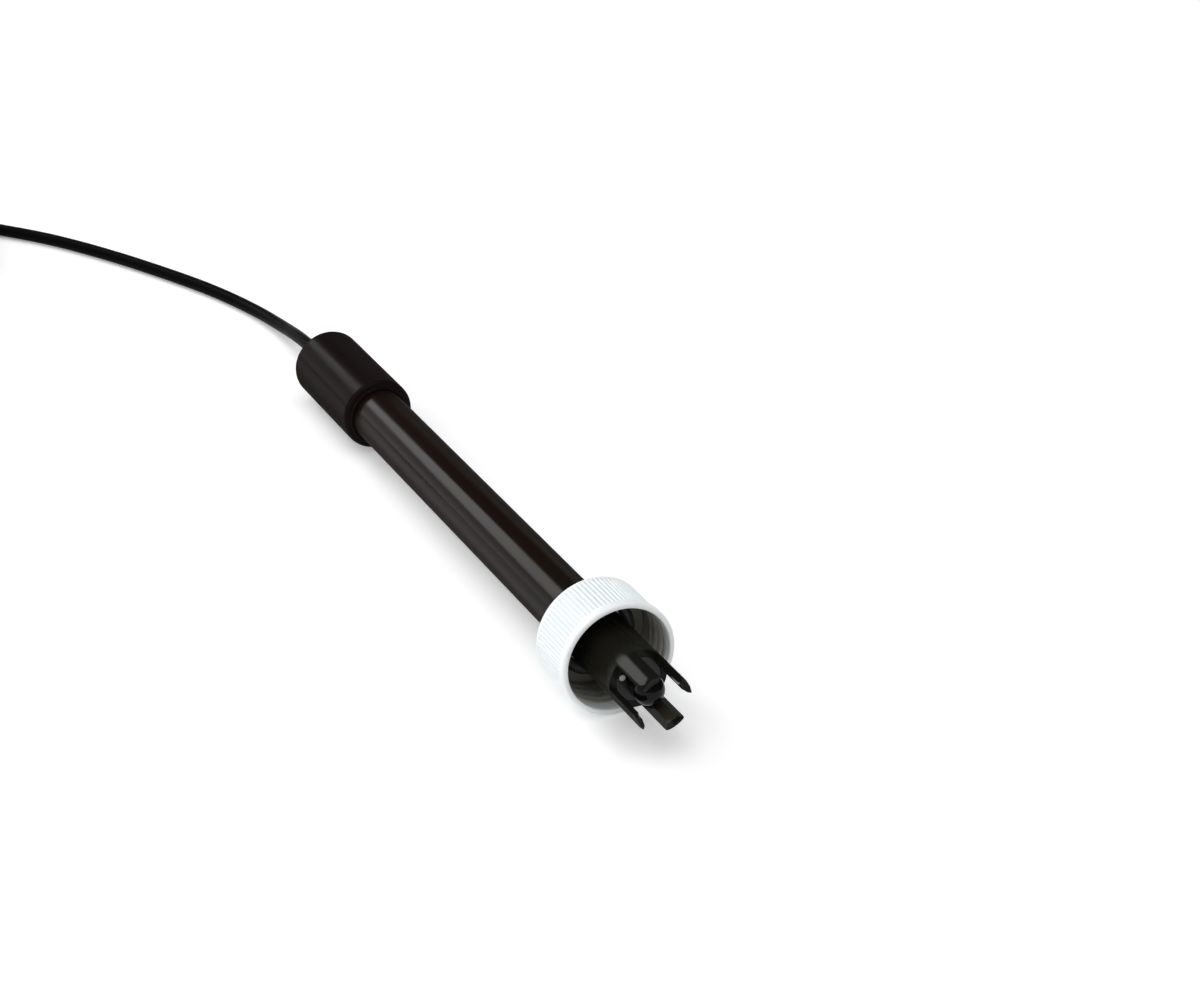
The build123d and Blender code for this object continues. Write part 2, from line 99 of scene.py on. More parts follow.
def roundedProfile(corners, steps):
    # corners are (station, radius, rounding): each rounding becomes an arc
    points = []
    for number, (station, radius, rounding) in enumerate(corners):
        corner = Vector((station, radius))
        if rounding <= 0:
            points.append(corner)
            continue
        before = (Vector(corners[number - 1][:2]) - corner).normalized()
        after = (Vector(corners[(number + 1) % len(corners)][:2]) - corner).normalized()
        halfTurn = before.angle(after) / 2
        start = corner + before * (rounding / tan(halfTurn))
        stop = corner + after * (rounding / tan(halfTurn))
        middle = corner + (before + after).normalized() * (rounding / sin(halfTurn))
        first = atan2(start.y - middle.y, start.x - middle.x)
        sweep = atan2(stop.y - middle.y, stop.x - middle.x) - first
        sweep = (sweep + pi) % (2 * pi) - pi
        for step in range(steps + 1):
            angle = first + sweep * step / steps
            points.append(middle + Vector((cos(angle), sin(angle))) * rounding)
    return points


def latheMesh(name, profile, segments):
    # closed profile turned about local x; sizes in mm
    build = bmesh.new()
    rings = []
    for station, radius in profile:
        rings.append([build.verts.new(roundPoint(station, radius, 2 * pi * number / segments))
                      for number in range(segments)])
    for here, after in zip(rings, rings[1:] + rings[:1]):
        for step in range(segments):
            beside = (step + 1) % segments
            build.faces.new((here[step], here[beside], after[beside], after[step]))
    bmesh.ops.remove_doubles(build, verts=build.verts, dist=meshSet["weld"])
    bmesh.ops.dissolve_degenerate(build, edges=build.edges, dist=meshSet["sliver"])
    bmesh.ops.recalc_face_normals(build, faces=build.faces)
    return takeMesh(name, build)


def smoothCopy(name, node):
    # a merged copy of a solid's triangles, so that curved faces shade smoothly
    build = bmesh.new()
    build.from_mesh(nodes[node].data)
    bmesh.ops.remove_doubles(build, verts=build.verts, dist=meshSet["solidWeld"])
    bmesh.ops.dissolve_limit(build, angle_limit=radians(meshSet["flatAngle"]),
                             verts=build.verts, edges=build.edges)
    return addObject(name, takeMesh(name, build))


def bakeMesh(piece):
    # the evaluated shape becomes the piece's own plain mesh
    scene.view_layers[0].update()
    evaluated = piece.evaluated_get(bpy.context.evaluated_depsgraph_get())
    baked = bpy.data.meshes.new_from_object(evaluated)
    baked.name = piece.name
    piece.modifiers.clear()
    piece.data = baked


def finishPiece(piece, body, material, replaced=(), sharp=38, edge=0.0, edgeSteps=3):
    # smooth faces, eased edges, material, and the body that carries the piece
    piece.data.polygons.foreach_set("use_smooth", [True] * len(piece.data.polygons))
    piece.data.set_sharp_from_angle(angle=radians(sharp))
    if edge:
        ease = piece.modifiers.new("ease", "BEVEL")
        ease.width = edge * mm
        ease.segments = edgeSteps
        ease.limit_method = "ANGLE"
        ease.angle_limit = radians(sharp)
        ease.use_clamp_overlap = True
    even = piece.modifiers.new("even", "WEIGHTED_NORMAL")
    even.keep_sharp = True
    bakeMesh(piece)
    if material:
        piece.data.materials.clear()
        piece.data.materials.append(material)
    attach(piece, body)
    if replaced:
        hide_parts(*replaced)
    return piece


def turnedPiece(name, profile, segments, body, material, replaced, sharp=38):
    turned = latheMesh(name, profile, segments)
    turned.transform(shaftMatrix)
    return finishPiece(addObject(name, turned), body, material, replaced, sharp)


def roundNormals(piece, origin, axis):
    # corners of faces that are turned about the axis take the exact radial direction
    mesh = piece.data
    normals = [Vector(corner.vector) for corner in mesh.corner_normals]
    for face in mesh.polygons:
        spoke = face.center - origin
        spoke -= axis * spoke.dot(axis)
        side = face.normal.dot(spoke.normalized())
        if abs(side) < meshSet["turnedFace"]:
            continue
        for corner in face.loop_indices:
            reach = mesh.vertices[mesh.loops[corner].vertex_index].co - origin
            reach -= axis * reach.dot(axis)
            normals[corner] = reach.normalized() * (1 if side > 0 else -1)
    mesh.normals_split_custom_set(normals)


# helpers for nodes
socketKinds = dict(number="NodeSocketFloat", colour="NodeSocketColor", vector="NodeSocketVector",
                   geometry="NodeSocketGeometry", material="NodeSocketMaterial")


def newTree(name, kind, inputs, outputs):
    # inputs are (name, kind, value), outputs are (name, kind)
    tree = bpy.data.node_groups.new(name, kind)
    for label, sort, value in inputs:
        socket = tree.interface.new_socket(name=label, in_out="INPUT", socket_type=socketKinds[sort])
        if value is not None:
            socket.default_value = value
    for label, sort in outputs:
        tree.interface.new_socket(name=label, in_out="OUTPUT", socket_type=socketKinds[sort])
    return tree, tree.nodes.new("NodeGroupInput"), tree.nodes.new("NodeGroupOutput")


def addNode(tree, kind, settings=None, values=None):
    made = tree.nodes.new(kind)
    for key, value in (settings or {}).items():
        setattr(made, key, value)
    for key, value in (values or {}).items():
        made.inputs[key].default_value = value
    return made


def mathNode(tree, operation, values=None):
    return addNode(tree, "ShaderNodeMath", {"operation": operation}, values)


def vectorNode(tree, operation):
    return addNode(tree, "ShaderNodeVectorMath", {"operation": operation})


def mixNode(tree, kind, values=None):
    return addNode(tree, "ShaderNodeMix", {"data_type": kind}, values)


def softRange(tree, values=None):
    return addNode(tree, "ShaderNodeMapRange", {"interpolation_type": "SMOOTHSTEP"}, values)


def useGroup(tree, group, values):
    return addNode(tree, "ShaderNodeGroup", {"node_tree": group}, values)


def link(tree, *pairs):
    for source, target in pairs:
        tree.links.new(source, target)


# moulded grain: fine and finer noise as a height
grainGroup, given, result = newTree("mouldedGrain", "ShaderNodeTree", [
    ("Scale", "number", 4000.0), ("Fineness", "number", 4.0)], [("Height", "number")])
place = addNode(grainGroup, "ShaderNodeTexCoord")
coarse = addNode(grainGroup, "ShaderNodeTexNoise", values={"Detail": 3.0, "Roughness": 0.55})
fineScale = mathNode(grainGroup, "MULTIPLY")
fine = addNode(grainGroup, "ShaderNodeTexNoise", values={"Detail": 2.0})
height = mathNode(grainGroup, "MULTIPLY_ADD", {1: 0.4})  # share of the finer noise
link(grainGroup,
     (place.outputs["Object"], coarse.inputs["Vector"]),
     (place.outputs["Object"], fine.inputs["Vector"]),
     (given.outputs["Scale"], coarse.inputs["Scale"]),
     (given.outputs["Scale"], fineScale.inputs[0]),
     (given.outputs["Fineness"], fineScale.inputs[1]),
     (fineScale.outputs[0], fine.inputs["Scale"]),
     (fine.outputs["Fac"], height.inputs[0]),
     (coarse.outputs["Fac"], height.inputs[2]),
     (height.outputs[0], result.inputs["Height"]))

# handling marks: patches and drawn-out smears of roughness
marksGroup, given, result = newTree("handlingMarks", "ShaderNodeTree", [
    ("Clean", "number", 0.1), ("Smeared", "number", 0.25), ("Scale", "number", 120.0),
    ("Stretch", "vector", (0.25, 1.0, 1.0))], [("Roughness", "number")])
place = addNode(marksGroup, "ShaderNodeTexCoord")
drawn = vectorNode(marksGroup, "MULTIPLY")
smear = addNode(marksGroup, "ShaderNodeTexNoise", values={"Detail": 5.0, "Roughness": 0.6, "Distortion": 0.6})
spread = softRange(marksGroup, {"From Min": 0.42, "From Max": 0.72})
smeared = mixNode(marksGroup, "FLOAT")
link(marksGroup,
     (place.outputs["Object"], drawn.inputs[0]),
     (given.outputs["Stretch"], drawn.inputs[1]),
     (drawn.outputs[0], smear.inputs["Vector"]),
     (given.outputs["Scale"], smear.inputs["Scale"]),
     (smear.outputs["Fac"], spread.inputs["Value"]),
     (spread.outputs["Result"], smeared.inputs["Factor"]),
     (given.outputs["Clean"], smeared.inputs["A"]),
     (given.outputs["Smeared"], smeared.inputs["B"]),
     (smeared.outputs["Result"], result.inputs["Roughness"]))

# colour drift: slow change of tone, with a few dust specks
driftGroup, given, result = newTree("colourDrift", "ShaderNodeTree", [
    ("Colour", "colour", (0.5, 0.5, 0.5, 1)), ("Other Colour", "colour", (0.4, 0.4, 0.4, 1)),
    ("Scale", "number", 60.0), ("Dust Colour", "colour", (0.5, 0.5, 0.48, 1)), ("Dust", "number", 0.1),
    ("Dust Scale", "number", 900.0)], [("Colour", "colour")])
place = addNode(driftGroup, "ShaderNodeTexCoord")
slow = addNode(driftGroup, "ShaderNodeTexNoise", values={"Detail": 3.0, "Roughness": 0.5})
tone = mixNode(driftGroup, "RGBA")
specks = addNode(driftGroup, "ShaderNodeTexVoronoi", {"feature": "F1"})
speckCut = addNode(driftGroup, "ShaderNodeMapRange", values={"From Min": 0.10, "From Max": 0.05})
speckShare = mathNode(driftGroup, "MULTIPLY")
dusted = mixNode(driftGroup, "RGBA")
link(driftGroup,
     (place.outputs["Object"], slow.inputs["Vector"]),
     (place.outputs["Object"], specks.inputs["Vector"]),
     (given.outputs["Scale"], slow.inputs["Scale"]),
     (given.outputs["Dust Scale"], specks.inputs["Scale"]),
     (slow.outputs["Fac"], tone.inputs["Factor"]),
     (given.outputs["Colour"], tone.inputs["A"]),
     (given.outputs["Other Colour"], tone.inputs["B"]),
     (specks.outputs["Distance"], speckCut.inputs["Value"]),
     (speckCut.outputs["Result"], speckShare.inputs[0]),
     (given.outputs["Dust"], speckShare.inputs[1]),
     (speckShare.outputs[0], dusted.inputs["Factor"]),
     (tone.outputs["Result"], dusted.inputs["A"]),
     (given.outputs["Dust Colour"], dusted.inputs["B"]),
     (dusted.outputs["Result"], result.inputs["Colour"]))
print("shared effects built")


def makeMaterial(name, colour, other, rough, grain, bump, stretch=(0.25, 1.0, 1.0), marks=120.0, drift=60.0,
                 dust=0.06, dustColour=(0.5, 0.5, 0.48), depth=0.02, plain=None):
    # a surface from the three shared effects; what is the same all over (plain) is set on the shader itself
    made = bpy.data.materials.new(name)
    made.use_nodes = True
    tree = made.node_tree
    shader = tree.nodes["Principled BSDF"]
    tint = useGroup(tree, driftGroup, {"Colour": (*colour, 1), "Other Colour": (*other, 1), "Scale": drift,
                                       "Dust": dust, "Dust Colour": (*dustColour, 1)})
    wear = useGroup(tree, marksGroup, {"Clean": rough[0], "Smeared": rough[1], "Scale": marks,
                                       "Stretch": stretch})
    texture = useGroup(tree, grainGroup, {"Scale": grain})
    relief = addNode(tree, "ShaderNodeBump", values={"Strength": bump, "Distance": depth * mm})
    link(tree,
         (tint.outputs["Colour"], shader.inputs["Base Color"]),
         (wear.outputs["Roughness"], shader.inputs["Roughness"]),
         (texture.outputs["Height"], relief.inputs["Height"]),
         (relief.outputs["Normal"], shader.inputs["Normal"]))
    for key, value in (plain or {}).items():
        shader.inputs[key].default_value = value
    return made


# finishes of this electrode: two tones, roughness clean and smeared, grain per metre, bump, and what differs
finishes = dict(
    shaftPlastic=dict(
        colour=(0.0090, 0.0044, 0.0028), other=(0.0072, 0.0041, 0.0026), rough=(0.15, 0.22),
        grain=900, bump=0.05, marks=90, drift=40, dust=0.02, plain={"Specular IOR Level": 0.075}),
    smokyPlastic=dict(
        colour=(0.0085, 0.0085, 0.0066), other=(0.0065, 0.0068, 0.0052), rough=(0.06, 0.11),
        grain=900, bump=0.04, marks=200, drift=80, dust=0.02, plain={"Specular IOR Level": 0.085}),
    # painted light: olive stands in for floor light seen through the thin smoky prongs, on an opaque surface
    smokyInsidePaintedLight=dict(
        colour=(0.034, 0.031, 0.019), other=(0.026, 0.024, 0.015), rough=(0.10, 0.18),
        grain=900, bump=0.05, marks=200, drift=160, dust=0.02, plain={"Specular IOR Level": 0.12}),
    capPlastic=dict(
        colour=(0.0072, 0.0047, 0.0042), other=(0.0088, 0.0059, 0.0054), rough=(0.16, 0.26),
        grain=2500, bump=0.10, marks=140, dust=0.02, plain={"Specular IOR Level": 0.022}),
    whitePlastic=dict(
        colour=(0.92, 0.945, 0.952), other=(0.88, 0.915, 0.928), rough=(0.34, 0.46),
        grain=3000, bump=0.10, marks=160, drift=110, dust=0.08, dustColour=(0.60, 0.61, 0.58),
        plain={"Subsurface Weight": 0.08, "Subsurface Scale": 0.0006}),
    sealRubber=dict(
        colour=(0.025, 0.024, 0.022), other=(0.035, 0.033, 0.03), rough=(0.45, 0.62),
        grain=5000, bump=0.3, dust=0.05),
    bulbGlass=dict(
        colour=(0.0052, 0.0054, 0.0060), other=(0.0040, 0.0042, 0.0048), rough=(0.02, 0.05),
        grain=600, bump=0.02, marks=300, drift=200, dust=0.0,
        plain={"IOR": 1.48, "Transmission Weight": 0.2, "Specular IOR Level": 0.06}),
    sealResin=dict(
        colour=(0.012, 0.0135, 0.0145), other=(0.009, 0.0102, 0.0112), rough=(0.14, 0.26),
        grain=1500, bump=0.14, marks=400, drift=300, dust=0.03, plain={"Specular IOR Level": 0.24}),
    porousCeramic=dict(
        colour=(0.62, 0.58, 0.50), other=(0.46, 0.42, 0.35), rough=(0.7, 0.9),
        grain=6000, bump=0.7, marks=900, drift=2500, dust=0.0, depth=0.08),
    cableJacket=dict(
        colour=(0.0026, 0.0026, 0.0027), other=(0.0038, 0.0038, 0.0040), rough=(0.32, 0.46),
        grain=6000, bump=0.28, marks=200, dust=0.02, plain={"Specular IOR Level": 0.015}),
    tieFabric=dict(
        colour=(0.022, 0.022, 0.024), other=(0.04, 0.04, 0.042), rough=(0.6, 0.8),
        grain=7000, bump=0.8, dust=0.06, depth=0.06),
    platedMetal=dict(
        colour=(0.66, 0.65, 0.61), other=(0.58, 0.57, 0.54), rough=(0.16, 0.30),
        grain=1200, bump=0.06, stretch=(1.0, 0.3, 0.3), marks=500, dust=0.03, plain={"Metallic": 1.0}),
    goldPlate=dict(
        colour=(0.86, 0.62, 0.26), other=(0.80, 0.56, 0.22), rough=(0.14, 0.26),
        grain=1500, bump=0.05, marks=700, dust=0.0, plain={"Metallic": 1.0}),
    bootRubber=dict(
        colour=(0.014, 0.014, 0.015), other=(0.022, 0.022, 0.023), rough=(0.42, 0.58),
        grain=4500, bump=0.3, dust=0.04),
    insulatorPlastic=dict(
        colour=(0.80, 0.79, 0.75), other=(0.74, 0.73, 0.69), rough=(0.38, 0.5),
        grain=2500, bump=0.12, dust=0.05),
    silverWire=dict(
        colour=(0.72, 0.71, 0.68), other=(0.55, 0.53, 0.50), rough=(0.2, 0.4),
        grain=3000, bump=0.15, plain={"Metallic": 1.0}),
    saltGel=dict(
        colour=(0.60, 0.62, 0.58), other=(0.52, 0.54, 0.50), rough=(0.12, 0.25),
        grain=700, bump=0.05, dust=0.0, plain={"IOR": 1.36, "Transmission Weight": 0.7}),
    innerBuffer=dict(
        colour=(0.35, 0.38, 0.40), other=(0.30, 0.33, 0.36), rough=(0.04, 0.08),
        grain=500, bump=0.02, dust=0.0, plain={"IOR": 1.34, "Transmission Weight": 0.85}),
    greyRubber=dict(
        colour=(0.16, 0.15, 0.14), other=(0.12, 0.11, 0.10), rough=(0.5, 0.7),
        grain=4000, bump=0.35),
    coreInsulation=dict(
        colour=(0.70, 0.70, 0.66), other=(0.62, 0.62, 0.58), rough=(0.35, 0.5),
        grain=3000, bump=0.1),
    copperBraid=dict(
        colour=(0.62, 0.30, 0.17), other=(0.45, 0.21, 0.12), rough=(0.28, 0.45),
        grain=5000, bump=0.6, plain={"Metallic": 1.0}),
    brightSolder=dict(
        colour=(0.55, 0.55, 0.56), other=(0.45, 0.45, 0.46), rough=(0.2, 0.4),
        grain=2500, bump=0.3, plain={"Metallic": 1.0}),
)
finish = {name: makeMaterial(name, **values) for name, values in finishes.items()}
tints = dict(
    towardTip=(0.0090, 0.0086, 0.0062),
    tipFrom=0.030,      # metres along x
    tipTo=0.060,
    # painted shade: blue-grey laid into the grip grooves between the ribs
    groove=(0.70, 0.78, 0.81),
    grooveShadeShare=0.8,
    # painted shade: darker olive laid over the screw cap's inside and its thread, where shade falls
    inside=(0.27, 0.266, 0.225),
    rimRough=0.8,       # roughness of the dark mouldings where they are seen edge on
    rimFrom=0.46,
    rimTo=0.76,
)


def tintBy(material, mask, colour, share=1.0):
    # lays another colour over a material's own where the mask says so
    tree = material.node_tree
    shader = tree.nodes["Principled BSDF"]
    under = shader.inputs["Base Color"].links[0].from_socket
    amount = mathNode(tree, "MULTIPLY", {1: share})
    over = mixNode(tree, "RGBA", {"B": (*colour, 1)})
    link(tree,
         (mask(tree), amount.inputs[0]),
         (amount.outputs[0], over.inputs["Factor"]),
         (under, over.inputs["A"]),
         (over.outputs["Result"], shader.inputs["Base Color"]))


def attributeMask(name):
    return lambda tree: addNode(tree, "ShaderNodeAttribute", {"attribute_name": name}).outputs["Fac"]


def towardTip(tree):
    # grows along x from the middle of the shaft to its slotted end
    place = addNode(tree, "ShaderNodeTexCoord")
    split = addNode(tree, "ShaderNodeSeparateXYZ")
    grow = softRange(tree, {"From Min": tints["tipFrom"], "From Max": tints["tipTo"]})
    link(tree, (place.outputs["Object"], split.inputs[0]), (split.outputs["X"], grow.inputs["Value"]))
    return grow.outputs["Result"]


def softRim(material):
    # the gloss gets softer where the surface is seen edge on
    tree = material.node_tree
    shader = tree.nodes["Principled BSDF"]
    under = shader.inputs["Roughness"].links[0].from_socket
    facing = addNode(tree, "ShaderNodeLayerWeight", values={"Blend": 0.5})
    grow = softRange(tree, {"From Min": tints["rimFrom"], "From Max": tints["rimTo"]})
    soften = mixNode(tree, "FLOAT", {"B": tints["rimRough"]})
    link(tree,
         (facing.outputs["Facing"], grow.inputs["Value"]),
         (grow.outputs["Result"], soften.inputs["Factor"]),
         (under, soften.inputs["A"]),
         (soften.outputs["Result"], shader.inputs["Roughness"]))


for darkMoulding in ("shaftPlastic", "smokyPlastic", "capPlastic"):
    softRim(finish[darkMoulding])
tintBy(finish["shaftPlastic"], towardTip, tints["towardTip"])
# painted shade: the white cap darkened in its grip grooves
tintBy(finish["whitePlastic"], attributeMask("groove"), tints["groove"], tints["grooveShadeShare"])
# painted shade: the white cap darkened on its inside by the inside mask
tintBy(finish["whitePlastic"], attributeMask("inside"), tints["inside"])

# the solids inside keep their shape and take a finish
innerFinish = dict(
    inner_wire="silverWire", reference_wire="silverWire",
    inner_buffer="innerBuffer", reference_gel="saltGel",
    stem_bung="greyRubber", tube_stopper="greyRubber",
    core_lead="coreInsulation", shield_lead="copperBraid",
    core_joint="brightSolder", shield_joint="brightSolder",
    cable_ferrule="platedMetal",
)
for nodeName, finishName in innerFinish.items():
    nodes[nodeName].data.materials.clear()
    nodes[nodeName].data.materials.append(finish[finishName])
print("materials built:", len(finish))

# camera at the photograph's viewing angle
cameraSet = dict(place=(0.44075, -0.19369, 0.28459), azimuth=63.24, elevation=29.44, lens=81.0, sensor=36.0,
                 clipStart=0.01)
cameraData = bpy.data.cameras.new("camera")
cameraData.lens = cameraSet["lens"]
cameraData.sensor_width = cameraSet["sensor"]
cameraData.sensor_fit = "HORIZONTAL"
cameraData.clip_start = cameraSet["clipStart"]
camera = addObject("camera", cameraData)
camera.location = cameraSet["place"]
camera.rotation_euler = (radians(90 - cameraSet["elevation"]), 0.0, radians(cameraSet["azimuth"]))
scene.camera = camera

# floor: pale and shaded near the electrode, plain white far away
floorSet = dict(size=80.0, drop=0.0002, colour=(0.90, 0.90, 0.90), roughness=0.9, lift=0.26, litReach=0.55,
                whiteReach=1.10)
half = floorSet["size"] / 2
floorMesh = bpy.data.meshes.new("floor")
floorCorners = [(-half, -half, 0), (half, -half, 0), (half, half, 0), (-half, half, 0)]
floorMesh.from_pydata(floorCorners, [], [(0, 1, 2, 3)])
floor = addObject("floor", floorMesh)
floor.location.z = -floorSet["drop"]
floorMaterial = bpy.data.materials.new("floorPaint")
floorMaterial.use_nodes = True
floorTree = floorMaterial.node_tree
floorShader = floorTree.nodes["Principled BSDF"]
floorShader.inputs["Roughness"].default_value = floorSet["roughness"]
floorShader.inputs["Specular IOR Level"].default_value = 0.0
floorShader.inputs["Emission Color"].default_value = (1, 1, 1, 1)
lightPath = addNode(floorTree, "ShaderNodeLightPath")
seenOrMirrored = mathNode(floorTree, "MAXIMUM")
seenAnyWay = mathNode(floorTree, "MAXIMUM")
floorPlace = addNode(floorTree, "ShaderNodeTexCoord")
floorReach = vectorNode(floorTree, "LENGTH")
farAway = softRange(floorTree, {"From Min": floorSet["litReach"], "From Max": floorSet["whiteReach"]})
floorColour = mixNode(floorTree, "RGBA", {"A": (*floorSet["colour"], 1), "B": (0, 0, 0, 1)})
liftAmount = addNode(floorTree, "ShaderNodeMapRange", values={"To Min": floorSet["lift"], "To Max": 1.0})
lift = mathNode(floorTree, "MULTIPLY")
link(floorTree,
     (floorPlace.outputs["Object"], floorReach.inputs[0]),
     (floorReach.outputs["Value"], farAway.inputs["Value"]),
     (farAway.outputs["Result"], floorColour.inputs["Factor"]),
     (floorColour.outputs["Result"], floorShader.inputs["Base Color"]),
     (farAway.outputs["Result"], liftAmount.inputs["Value"]),
     (lightPath.outputs["Is Camera Ray"], seenOrMirrored.inputs[0]),
     (lightPath.outputs["Is Glossy Ray"], seenOrMirrored.inputs[1]),
     (seenOrMirrored.outputs[0], seenAnyWay.inputs[0]),
     (lightPath.outputs["Is Transmission Ray"], seenAnyWay.inputs[1]),
     (seenAnyWay.outputs[0], lift.inputs[0]),
     (liftAmount.outputs["Result"], lift.inputs[1]),
     (lift.outputs[0], floorShader.inputs["Emission Strength"]))
floorMesh.materials.append(floorMaterial)

# sky: white at the horizon, dimmer above and on the far side
skySet = dict(low=1.0, high=0.16, riseFrom=0.02, riseTo=0.32, farShare=0.30, turnFrom=-0.35, turnTo=0.45,
              horizonFrom=0.05, horizonTo=0.12)
world = bpy.data.worlds.new("studio")
scene.world = world
world.use_nodes = True
sky = world.node_tree
background = sky.nodes["Background"]
background.inputs["Color"].default_value = (1, 1, 1, 1)
skyPlace = addNode(sky, "ShaderNodeTexCoord")
skySplit = addNode(sky, "ShaderNodeSeparateXYZ")
skyRise = softRange(sky, {"From Min": skySet["riseFrom"], "From Max": skySet["riseTo"],
                          "To Min": skySet["low"], "To Max": skySet["high"]})
skyTurn = softRange(sky, {"From Min": skySet["turnFrom"], "From Max": skySet["turnTo"],
                          "To Min": 1.0, "To Max": skySet["farShare"]})
skyStrength = mathNode(sky, "MULTIPLY")
skyAbove = softRange(sky, {"From Min": skySet["horizonFrom"], "From Max": skySet["horizonTo"]})
skyBlend = mixNode(sky, "FLOAT", {"A": 1.0})
link(sky,
     (skyPlace.outputs["Generated"], skySplit.inputs[0]),
     (skySplit.outputs["Z"], skyRise.inputs["Value"]),
     (skySplit.outputs["Y"], skyTurn.inputs["Value"]),
     (skyRise.outputs["Result"], skyStrength.inputs[0]),
     (skyTurn.outputs["Result"], skyStrength.inputs[1]),
     (skySplit.outputs["Z"], skyAbove.inputs["Value"]),
     (skyAbove.outputs["Result"], skyBlend.inputs["Factor"]),
     (skyStrength.outputs[0], skyBlend.inputs["B"]),
     (skyBlend.outputs["Result"], background.inputs["Strength"]))

# soft boxes, all aimed at the electrode's middle
lights = dict(
    windowLight=dict(place=(-0.93, -0.37, 0.63), width=0.52, height=0.40, radiance=5.6),
    lowLight=dict(place=(-1.0, -0.72, 0.26), width=1.1, height=0.45, radiance=1.05),
    overheadLight=dict(place=(0.25, -0.25, 1.25), width=1.5, height=1.5, radiance=1.9),
    farFill=dict(place=(0.25, 1.30, 0.75), width=1.0, height=0.8, radiance=1.6, mirrored=False),
    sideLight=dict(place=(0.60, -1.35, 0.70), width=0.8, height=0.8, radiance=2.4),
)


def addSoftBox(name, place, width, height, radiance, mirrored=True):
    lamp = bpy.data.lights.new(name, "AREA")
    lamp.shape = "RECTANGLE"
    lamp.size = width
    lamp.size_y = height
    lamp.energy = radiance * pi * width * height
    box = addObject(name, lamp)
    box.location = place
    box.rotation_euler = (-Vector(place)).to_track_quat("-Z", "Y").to_euler()
    box.visible_camera = False
    box.visible_glossy = mirrored


for name, values in lights.items():
    addSoftBox(name, **values)
print("stage and lights set")

# cable: leaves the top cap, lies on the table, is wound into a tied coil and ends in the plug
cable = dict(
    diameter=3.0 * mm,
    length=1.0,
    inside=9.5,          # how far it runs into the top cap, mm
    exitRun=4.0,
    route=[(-100, 0.5, 6.3), (-114, 1.3, 3.0), (-129, -0.4, 1.5), (-145, -6, 1.5), (-161, -13.8, 1.5),
           (-178, -23, 1.5), (-194, -33.4, 1.5), (-207, -45.2, 1.6), (-217.7, -53.4, 2.2)],
    tail=[(-196.5, -89.0, 11.0), (-187, -87.9, 9.3)],
    tailRear=23.9,       # stations behind the plug's front
    bootRear=37.9,
    bootLead=5.0,
    curveSteps=8,
    roundSteps=7,
)
coil = dict(
    middle=(-205.7, -69.9),
    inner=15.0,
    pitch=3.12,          # from one turn to the next beside it
    start=133.0,         # degrees, counter-clockwise
    turns=7.38,
    layers=4,
    layerTurns=1.48,
    climbTurns=0.37,
    floor=2.3,
    layerStep=3.06,
    pointsPerTurn=16,
)


def coilPoints():
    # spirals in and out by turns, one layer on the other, and climbs between layers
    points = []
    middleX, middleY = coil["middle"]
    layerSpan = coil["layerTurns"] + coil["climbTurns"]
    outer = coil["inner"] + coil["pitch"] * coil["layerTurns"]
    count = int(coil["turns"] * coil["pointsPerTurn"])
    for number in range(count + 1):
        turned = coil["turns"] * number / count
        layer = min(int(turned / layerSpan), coil["layers"] - 1)
        inLayer = turned - layer * layerSpan
        top = layer == coil["layers"] - 1
        wound = inLayer if top else min(inLayer, coil["layerTurns"])
        climbed = 0.0 if top else max(0.0, inLayer - coil["layerTurns"]) / coil["climbTurns"]
        drift = coil["pitch"] * wound
        radius = outer - drift if layer % 2 == 0 else coil["inner"] + drift
        height = coil["floor"] + coil["layerStep"] * (layer + climbed * climbed * (3 - 2 * climbed))
        angle = radians(coil["start"] + 360 * turned)
        points.append((middleX + radius * cos(angle), middleY + radius * sin(angle), height))
    return points


cablePoints = [axisPoint(cable["inside"]), axisPoint(-cable["exitRun"])]
cablePoints += [Vector(point) * mm for point in cable["route"] + coilPoints() + cable["tail"]]
cablePoints += [plugPoint(cable["bootRear"] + cable["bootLead"]), plugPoint(cable["tailRear"])]
cableCurve = bpy.data.curves.new("cable", "CURVE")
cableCurve.dimensions = "3D"
spline = cableCurve.splines.new("NURBS")
spline.points.add(len(cablePoints) - 1)
for knot, where in zip(spline.points, cablePoints):
    knot.co = (*where, 1.0)
spline.order_u = 3
spline.use_endpoint_u = True
spline.resolution_u = cable["curveSteps"]
cableCurve.bevel_depth = cable["diameter"] / 2
cableCurve.bevel_resolution = cable["roundSteps"]
cableCurve.use_fill_caps = True
cableCurve.materials.append(finish["cableJacket"])
cableObject = addObject("cable", cableCurve)
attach(cableObject, "electrode")
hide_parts("cable_lead", "cable_coil", "cable_tail")
print("cable laid:", len(cablePoints), "points")

# shaft: a slotted tube that ends in four guard prongs
shaft = dict(radius=6.0, bore=4.6, rear=12.0, endFace=154.8, tip=165.0, slot=5.0, prongAngle=26.7, prongs=4,
             outerBevel=0.9, innerBevel=1.7, tipInset=0.3, tipLand=0.4, cornerRadius=0.5, edge=0.12,
             steps=14, rings=30, prongRows=8, tipSteps=6)
# the prongs' inner faces take painted light of the floor seen through them
shaftFinish = [finish["shaftPlastic"], finish["smokyPlastic"], finish["smokyInsidePaintedLight"]]
onTube, onProng, onProngPaintedLight = range(3)


def shaftAngles(radius, halfSlot):
    # angles round one ring: across a prong, then across the slot beside it
    angles = []
    steps = shaft["steps"]
    lap = 360 / shaft["prongs"]
    inset = degrees(asin(halfSlot / radius))
    for number in range(shaft["prongs"]):
        start = shaft["prongAngle"] + number * lap - lap / 2 + inset
        stop = shaft["prongAngle"] + number * lap + lap / 2 - inset
        nextStart = start + lap
        angles += [start + (stop - start) * step / steps for step in range(steps + 1)]
        angles += [stop + (nextStart - stop) * step / steps for step in range(1, steps)]
    return angles


